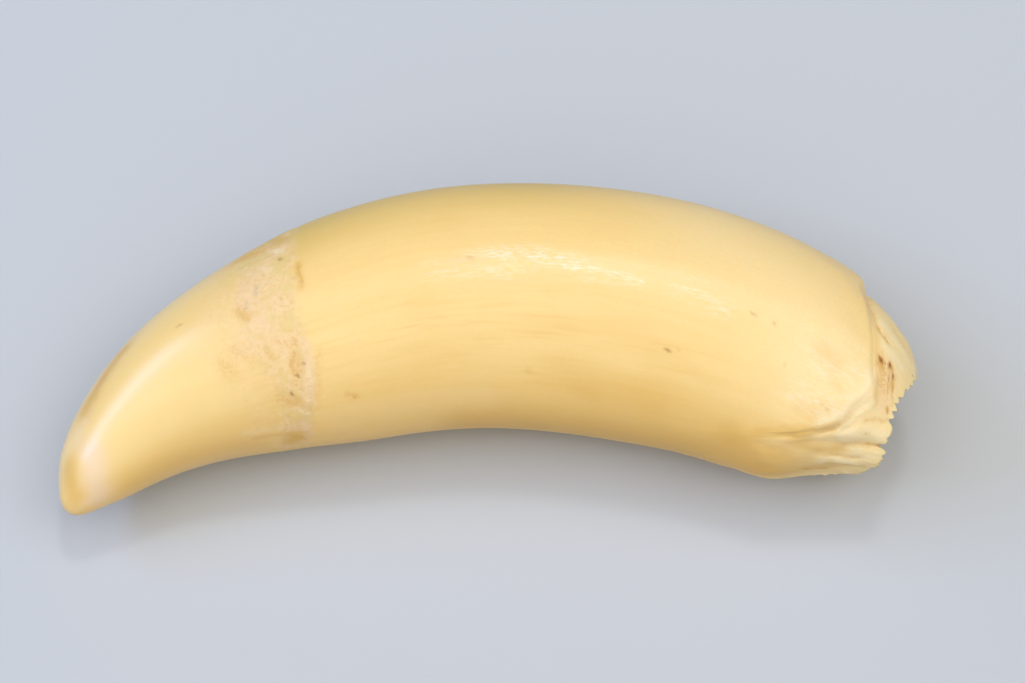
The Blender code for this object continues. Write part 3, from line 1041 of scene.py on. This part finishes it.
@dataclass(frozen=True)
class Signal:
    """A node's output. Python's operators on it add Math nodes."""

    bench: Bench
    socket: bpy.types.NodeSocket

    __add__, __radd__ = operator("ADD"), operator("ADD", swapped=True)
    __sub__, __rsub__ = operator("SUBTRACT"), operator("SUBTRACT", swapped=True)
    __mul__ = operator("MULTIPLY")

    def rise(self, low: float, high: float) -> Signal:
        """0 below low, 1 above high, and eased between."""
        settings = {"interpolation_type": "SMOOTHSTEP"}
        return self.bench.signal("MapRange", settings, {0: self, 1: low, 2: high})


# The ivory


@dataclass(frozen=True)
class SkinSignals:
    """What the ivory reads from the skin. Zones and tints are shares from 0 to 1.

    The fibre coordinates run along the tooth, then round it on a circle of radius CORE. The spot
    coordinates are the object's own.
    """

    bench: Bench
    fibre: Signal
    spot: Signal
    zones: dict[Zone, Signal]
    tints: dict[Tint, Signal]


@dataclass(frozen=True)
class Ivory:
    """The finish of the whole tooth. Colours are linear, heights in metres.

    A noise is its scale along x, its scale along y and z, and its detail.
    """

    root: Colour = (0.905, 0.618, 0.228)
    crown: Colour = (0.910, 0.635, 0.240)
    outer_edge: Colour = (0.870, 0.600, 0.220)
    # The inner rim's own brown, and partly painted shade along the inner edge
    inner_edge_brown_and_shade: Colour = (0.880, 0.540, 0.145)
    streak: Colour = (0.840, 0.540, 0.165)
    light_streak: Colour = (0.930, 0.670, 0.280)
    crust: Colour = (0.740, 0.535, 0.215)
    cone: Colour = (0.935, 0.695, 0.332)
    pulp: Colour = (0.640, 0.430, 0.190)
    # Painted shade in pits, slits, creases and folds
    hollow_shade: Colour = (0.780, 0.460, 0.120)
    ochre: Colour = (0.690, 0.370, 0.075)
    brown: Colour = (0.300, 0.090, 0.001)
    pale: Colour = (0.950, 0.760, 0.450)
    rose: Colour = (0.880, 0.600, 0.330)
    grey: Colour = (0.480, 0.390, 0.270)
    blush: Colour = (0.830, 0.570, 0.275)
    olive: Colour = (0.690, 0.445, 0.080)
    # Stains, and painted shade under the lip and along the inner edge
    tan: Colour = (0.740, 0.430, 0.090)
    cream: Colour = (0.940, 0.690, 0.320)
    # Painted highlights on the root, whitish mottling on the knuckle
    fleck_highlight: Colour = (0.970, 0.865, 0.700)
    tip_blush: Colour = (0.900, 0.660, 0.430)
    cloud_noise: Triple = (90.0, 90.0, 3.0)
    patch_noise: Triple = (420.0, 420.0, 3.0)
    mottle_noise: Triple = (1700.0, 1700.0, 4.0)
    speck_noise: Triple = (3200.0, 3200.0, 3.0)
    wide_noise: Triple = (45.0, 330.0, 3.0)
    fine_noise: Triple = (130.0, 1900.0, 3.0)
    fleck_noise: Triple = (1000.0, 4800.0, 2.5)
    fleck_cloud_noise: Triple = (170.0, 900.0, 2.0)
    fibre_noise: Triple = (600.0, 4200.0, 3.0)
    grain_noise: Triple = (2600.0, 2600.0, 3.0)
    crust_noise: Triple = (2200.0, 2200.0, 4.0)
    fibre_height: float = 0.000014
    grain_height: float = 0.000006
    crust_height: float = 0.000034
    crown_rough: float = 0.30
    root_rough: float = 0.33
    crust_rough: float = 0.58
    cone_rough: float = 0.55
    fleck_polish: float = 0.07
    refraction: float = 1.45
    glow: float = 0.30
    glow_reach: float = 0.0012
    glow_colours: Colour = (1.0, 0.55, 0.25)
    coat: float = 0.35
    coat_rough: float = 0.22

    def material(self) -> bpy.types.Material:
        """Builds the node material.

        Returns:
            The material, which reads the mesh's zones, tints and fibre coordinates.
        """
        bench = Bench("tooth_ivory")
        skin = SkinSignals(
            bench=bench,
            fibre=bench.attribute("fibre", "Vector"),
            spot=bench.signal("TexCoord", output="Object"),
            zones={zone: bench.attribute(zone.value) for zone in Zone},
            tints={tint: bench.attribute(tint.value) for tint in Tint},
        )
        highlight_flecks = self._highlight_flecks(skin)
        return bench.finished({
            "Base Color": self._colour(skin, highlight_flecks),
            "Roughness": self._roughness(skin, highlight_flecks),
            "IOR": self.refraction,
            "Normal": self._bump(skin),
            "Coat Weight": skin.zones[Zone.CROWN] * self.coat,
            "Coat Roughness": self.coat_rough,
            "Subsurface Weight": self.glow,
            "Subsurface Scale": self.glow_reach,
            "Subsurface Radius": self.glow_colours,
        })

    def _highlight_flecks(self, skin: SkinSignals) -> Signal:
        """Fine lengthwise specks that come and go in clouds where their tint is.

        On the root they are painted highlights, on the knuckle whitish mottling.

        Args:
            skin: What is read from the skin.

        Returns:
            Their share, 0 to 1.
        """
        fine = skin.bench.noise(skin.fibre, *self.fleck_noise).rise(0.34, 0.74)
        cloud = skin.bench.noise(skin.fibre, *self.fleck_cloud_noise).rise(0.32, 0.62)
        return fine * cloud * skin.tints[Tint.FLECK]

    def _colour(self, skin: SkinSignals, highlight_flecks: Signal) -> Signal:
        """Cream ivory, browner to its edges, streaked lengthwise, then the zones and stains.

        The brown along the inner edge and under the lip is partly painted shade, the shade of the
        hollows is painted, and the whitish specks on the root are painted highlights.

        Args:
            skin: What is read from the skin.
            highlight_flecks: What _highlight_flecks() gave.

        Returns:
            The base colour.
        """
        bench, zones, tints = skin.bench, skin.zones, skin.tints
        across = bench.signal("SeparateXYZ", {}, {0: skin.fibre}, output=1) * (1 / CORE)
        low_side = (0 - across).rise(-0.35, 0.60)
        root = 1 - zones[Zone.CROWN]
        cloud, patch, mottle, speck = (bench.noise(skin.spot, *noise) for noise in (
            self.cloud_noise, self.patch_noise, self.mottle_noise, self.speck_noise,
        ))
        wide, fine = (bench.noise(skin.fibre, *noise) for noise in (
            self.wide_noise, self.fine_noise,
        ))
        wide_dark = wide.rise(0.46, 0.74) * root
        fine_dark = fine.rise(0.50, 0.74) * cloud.rise(0.30, 0.62) * root
        crust = bench.layered(
            self.crust,
            (self.blush, patch.rise(0.42, 0.56)),
            (self.pale, mottle.rise(0.50, 0.72) * 0.22),
            (self.ochre, (1 - mottle.rise(0.30, 0.48)) * 0.28),
            (self.ochre, speck.rise(0.54, 0.70) * patch.rise(0.40, 0.60) * 0.55),
        )
        cone = bench.layered(self.cone, (self.pale, fine.rise(0.45, 0.7) * 0.35))
        colour = bench.layered(
            self.root,
            (self.crown, zones[Zone.CROWN]),
            (self.streak, cloud.rise(0.50, 0.78) * 0.35),
            (self.streak, wide_dark * (0.20 + low_side * 0.30)),
            (self.light_streak, (1 - wide.rise(0.25, 0.52)) * root * 0.35),
            (self.streak, fine_dark * (0.20 + low_side * 0.58)),
            (self.light_streak, (1 - fine.rise(0.28, 0.50)) * root * 0.20),
            (self.outer_edge, (across + wide * 0.1).rise(0.55, 1.05) * 0.75),
            # Browner along the inner edge: the rim's own brown and partly painted shade
            (self.inner_edge_brown_and_shade, (wide * 0.1 - across).rise(0.62, 1.05) * 0.75),
            (self.olive, tints[Tint.OLIVE]),
            (self.cream, tints[Tint.CREAM]),
            # Whitish specks: painted highlights on the root, whitish mottling on the knuckle
            (self.fleck_highlight, highlight_flecks * 0.9),
            (self.tip_blush, tints[Tint.BLUSH]),
            (self.streak, speck.rise(0.48, 0.75) * root * 0.22),
            (crust, zones[Zone.GUM] * (0.25 + patch * 0.9)),
            (cone, zones[Zone.CONE] * 0.85),
            # Yellow-brown stains, with painted shade under the lip and along the inner edge
            (self.tan, tints[Tint.TAN]),
            (self.pulp, zones[Zone.PULP] * 0.8),
            # Painted shade in pits, slits, creases and the cone's folds
            (self.hollow_shade, zones[Zone.HOLLOW] * 0.65),
        )
        broken_tones = {
            Tint.ROSE: self.rose, Tint.PALE: self.pale,
            Tint.OCHRE: self.ochre, Tint.GREY: self.grey,
        }
        for tint, tone in broken_tones.items():
            broken = (speck * 0.6 + mottle * 0.4 + tints[tint] * 0.16).rise(0.46, 0.62)
            colour = bench.layered(colour, (tone, tints[tint] * (0.25 + broken * 0.75)))
        return bench.layered(colour, (self.brown, tints[Tint.BROWN]))

    def _roughness(self, skin: SkinSignals, highlight_flecks: Signal) -> Signal:
        """Glossy on the crown, satin on the root, matt on the crust and the broken cone.

        Args:
            skin: What is read from the skin.
            highlight_flecks: What _highlight_flecks() gave.

        Returns:
            The roughness.
        """
        rough = self.root_rough - highlight_flecks * self.fleck_polish
        for zone, own in (
            (Zone.CROWN, self.crown_rough), (Zone.GUM, self.crust_rough),
            (Zone.CONE, self.cone_rough),
        ):
            rough = rough + skin.zones[zone] * (own - self.root_rough)
        return rough

    def _bump(self, skin: SkinSignals) -> Signal:
        """Fine fibres and grain: heights in metres, each scaled by its zone.

        Args:
            skin: What is read from the skin.

        Returns:
            The bent normal.
        """
        bench, zones = skin.bench, skin.zones
        root = 1 - zones[Zone.CROWN]
        fibres = bench.noise(skin.fibre, *self.fibre_noise) * self.fibre_height
        grain = bench.noise(skin.spot, *self.grain_noise) * self.grain_height
        crust = bench.noise(skin.spot, *self.crust_noise) * self.crust_height
        height = (fibres + grain) * (root * 0.9 + 0.1)
        height = height + crust * (zones[Zone.GUM] * 0.8 + zones[Zone.CONE] * 0.6)
        return bench.signal("Bump", {}, {"Strength": 1.0, "Distance": 1.0, "Height": height})


# The tooth


@dataclass(frozen=True)
class Tooth:
    """The one piece: its grid, its form, its relief and its finish."""

    form: ToothForm = ToothForm()
    relief: SkinRelief = SkinRelief()
    finish: Ivory = Ivory()
    around: int = 272
    rings_per_metre: Profile = Profile((
        (0.0, 6000), (0.002, 2600), (0.010, 1500), (0.020, 2200), (0.028, 4200), (0.038, 4200),
        (0.043, 1300), (0.078, 1300), (0.090, 3800), (0.098, 7200), (0.108, 8200),
    ))
    outer_rings: int = 312
    pit_rings: int = 46

    def ring_places(self) -> Array:
        """Where the rings lie: the running sum of their density, turned round.

        Returns:
            Places from just over 0 to 1 at the rim, then on to just under 2 in the pit.
        """
        fine = np.linspace(0.0, self.form.grid_rim, 4000)
        count = np.cumsum(self.rings_per_metre.at(fine))
        count = (count - count[0]) / (count[-1] - count[0])
        shares = np.linspace(0.0, 1.0, self.outer_rings + 1)[1:]
        outer = np.interp(shares, count, fine / self.form.grid_rim)
        inner = 1 + np.linspace(0.0, 1.0, self.pit_rings + 1)[1:-1] ** 1.25
        return np.concatenate([outer, inner])

    def surface(self) -> tuple[Array, Array, dict[Enum, Array]]:
        """The skin's points, with the relief pressed in along the form's own normals.

        Returns:
            Points of every ring, their fibre coordinates, and the zones and tints there.
        """
        along = self.ring_places()[:, None]
        theta = np.linspace(0.0, 2 * np.pi, self.around, endpoint=False)[None, :]
        along, theta = np.broadcast_arrays(along, theta)
        rim = self.form.rim(theta) - self.relief.nicks(theta)
        points, distance = self.form.skin(along, theta, rim)
        half = np.maximum(self.form.outer_half(distance, theta), 0.0005)
        grid = SkinGrid(distance / MM, np.degrees(theta), half / MM, along, self.form)
        height, covers = self.relief.press(grid)
        points = points + self._normals(points) * (height * MM)[..., None]
        fibre = np.stack([distance, CORE * np.cos(theta), CORE * np.sin(theta)], axis=-1)
        return points, fibre, covers

    def _normals(self, points: Array) -> Array:
        """Normals of the grid: the cross product of its steps round and along.

        Args:
            points: The points of every ring.

        Returns:
            Outward directions of length 1.
        """
        round_step = np.roll(points, -1, axis=1) - np.roll(points, 1, axis=1)
        along_step = np.gradient(points, axis=0)
        normals = np.cross(round_step, along_step)
        length = np.linalg.norm(normals, axis=-1, keepdims=True)
        return normals / np.maximum(length, 1e-12)

    def _faces(self, rings: int) -> tuple[Array, Array]:
        """Corners of all faces: a fan at the tip, bands of four-sided faces, a fan in the pit.

        Args:
            rings: How many rings lie between the two poles.

        Returns:
            The vertex number at each corner, and how many corners each face has.
        """
        first = 1 + np.arange(rings * self.around).reshape(rings, self.around)
        after = np.roll(first, -1, axis=1)
        tip = np.stack([np.zeros(self.around, int), after[0], first[0]], axis=-1)
        bands = np.stack([first[:-1], after[:-1], after[1:], first[1:]], axis=-1)
        last = np.full(self.around, 1 + rings * self.around)
        pit = np.stack([last, first[-1], after[-1]], axis=-1)
        corners = np.concatenate([tip.ravel(), bands.ravel(), pit.ravel()])
        counts = np.concatenate([
            np.full(self.around, 3), np.full((rings - 1) * self.around, 4),
            np.full(self.around, 3),
        ])
        return corners, counts

    def build(self) -> bpy.types.Object:
        """Makes the mesh, its attributes and its material.

        Returns:
            The finished piece, riding on the root body in place of its solid.
        """
        points, fibre, covers = self.surface()
        low, high = (np.array(corner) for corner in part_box("tooth"))
        tip, _ = self.form.skin(np.zeros(1), np.zeros(1), self.form.rim(np.zeros(1)))
        pit = points[-1].mean(axis=0, keepdims=True)
        rings = points.shape[0]
        points = np.concatenate([tip, points.reshape(-1, 3), pit])
        past_box = np.maximum(low - points.min(0), points.max(0) - high) / MM
        log.info("reach past the solid's box, mm: %s", np.round(past_box, 3))
        points = np.clip(points, low, high)
        mesh = bpy.data.meshes.new("tooth_skin")
        corners, counts = self._faces(rings)
        mesh.vertices.add(len(points))
        mesh.vertices.foreach_set("co", points.astype(np.float32).ravel())
        mesh.loops.add(len(corners))
        mesh.loops.foreach_set("vertex_index", corners.astype(np.int32))
        mesh.polygons.add(len(counts))
        starts = np.concatenate([[0], np.cumsum(counts)[:-1]]).astype(np.int32)
        mesh.polygons.foreach_set("loop_start", starts)
        mesh.update(calc_edges=True)
        mesh.shade_smooth()
        self._attribute(mesh, "fibre", fibre)
        for name, cover in covers.items():
            self._attribute(mesh, name.value, cover)
        mesh.materials.append(self.finish.material())
        piece = bpy.data.objects.new("tooth_skin", mesh)
        bpy.context.scene.collection.objects.link(piece)
        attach(piece, "root")
        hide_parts("tooth")
        return piece

    def _attribute(self, mesh: bpy.types.Mesh, name: str, values: Array) -> None:
        """Keeps numbers or vectors on the vertices, the poles taking their ring's mean.

        Args:
            mesh: The skin.
            name: The attribute's name.
            values: A number or a vector for each point of every ring.
        """
        ends = [values[:1].mean(axis=1), values[-1:].mean(axis=1)]
        flat = values.reshape(-1, *values.shape[2:])
        whole = np.concatenate([ends[0], flat, ends[1]]).astype(np.float32)
        if values.ndim == 3:
            made = mesh.attributes.new(name, "FLOAT_VECTOR", "POINT")
            made.data.foreach_set("vector", whole.ravel())
        else:
            made = mesh.attributes.new(name, "FLOAT", "POINT")
            made.data.foreach_set("value", whole)


# The studio


@dataclass(frozen=True)
class SoftBox:
    """A rectangular light that faces the tooth."""

    name: str
    towards: Triple
    away: float
    width: float
    height: float
    watts: float
    colour: Colour = (1.0, 1.0, 1.0)

    def build(self) -> None:
        """Hangs the light in its direction, its height along the horizon's normal."""
        light = bpy.data.lights.new(self.name, "AREA")
        light.shape = "RECTANGLE"
        light.size, light.size_y = self.width, self.height
        light.energy, light.color = self.watts, self.colour
        lamp = bpy.data.objects.new(self.name, light)
        direction = Vector(self.towards).normalized()
        lamp.location = direction * self.away
        lamp.rotation_euler = direction.to_track_quat("Z", "Y").to_euler()
        bpy.context.scene.collection.objects.link(lamp)


@dataclass(frozen=True)
class Studio:
    """A plain pale floor, soft light and the photograph's camera."""

    floor_size: float = 3.0
    floor_colour: Colour = (0.52, 0.52, 0.51)
    sky_colour: Colour = (0.94, 0.97, 1.0)
    sky_strength: float = 0.16
    lights: tuple[SoftBox, ...] = (
        SoftBox("overhead_light", (0.0, 0.05, 1.0), 1.20, 3.00, 1.20, 14.5),
        SoftBox("fill_light", (0.0, -0.75, 1.0), 1.20, 3.00, 1.20, 9.5),
        SoftBox("key_light", (0.05, 0.33, 0.94), 0.95, 0.12, 0.12, 1.15, (0.78, 0.88, 1.0)),
        SoftBox("window_light", (-0.74, 0.12, 0.64), 1.0, 0.80, 0.22, 4.2, (0.30, 0.48, 1.0)),
        SoftBox("side_light", (0.64, -0.12, 0.76), 1.0, 0.60, 0.60, 0.9, (0.70, 0.84, 1.0)),
    )
    aim: Triple = (0.002888, 0.000572, 0.0120)
    elevation: float = 67.2
    azimuth: float = 0.22
    lens: float = 110.0
    away: float = 0.3697
    sensor_width: float = 36.0
    clip: Pair = (0.01, 10.0)

    def build(self) -> None:
        """Makes the floor, the lights, the sky and the camera."""
        scene = bpy.context.scene
        mesh = bpy.data.meshes.new("floor")
        reach = self.floor_size / 2
        corners = [(-reach, -reach, 0), (reach, -reach, 0), (reach, reach, 0), (-reach, reach, 0)]
        mesh.from_pydata(corners, [], [(0, 1, 2, 3)])
        mesh.materials.append(Bench("floor_paper").finished({
            "Base Color": self.floor_colour, "Roughness": 0.9, "Specular IOR Level": 0.2,
        }))
        floor = bpy.data.objects.new("floor", mesh)
        scene.collection.objects.link(floor)
        for light in self.lights:
            light.build()
        world = bpy.data.worlds.new("studio")
        world.use_nodes = True
        backdrop = world.node_tree.nodes["Background"]
        backdrop.inputs["Color"].default_value = (*self.sky_colour, 1.0)
        backdrop.inputs["Strength"].default_value = self.sky_strength
        scene.world = world
        scene.view_settings.view_transform = "Standard"
        self._camera()

    def _camera(self) -> None:
        """Looks down at the tooth from the photograph's side, with no depth of field."""
        turn, rise = math.radians(self.azimuth), math.radians(self.elevation)
        back = Vector((
            math.sin(turn) * math.cos(rise), -math.cos(turn) * math.cos(rise), math.sin(rise),
        ))
        data = bpy.data.cameras.new("camera")
        data.lens, data.sensor_width = self.lens, self.sensor_width
        data.clip_start, data.clip_end = self.clip
        camera = bpy.data.objects.new("camera", data)
        camera.location = Vector(self.aim) + back * self.away
        camera.rotation_euler = back.to_track_quat("Z", "Y").to_euler()
        bpy.context.scene.collection.objects.link(camera)
        bpy.context.scene.camera = camera


def main() -> None:
    """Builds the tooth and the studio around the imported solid, and notes both sizes."""
    logging.basicConfig(level=logging.INFO, format="%(name)s: %(message)s")
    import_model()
    piece = Tooth().build()
    faces = len(piece.data.polygons)
    log.info("%s: %d vertices, %d faces", piece.name, len(piece.data.vertices), faces)
    Studio().build()


if __name__ == "__main__":
    main()
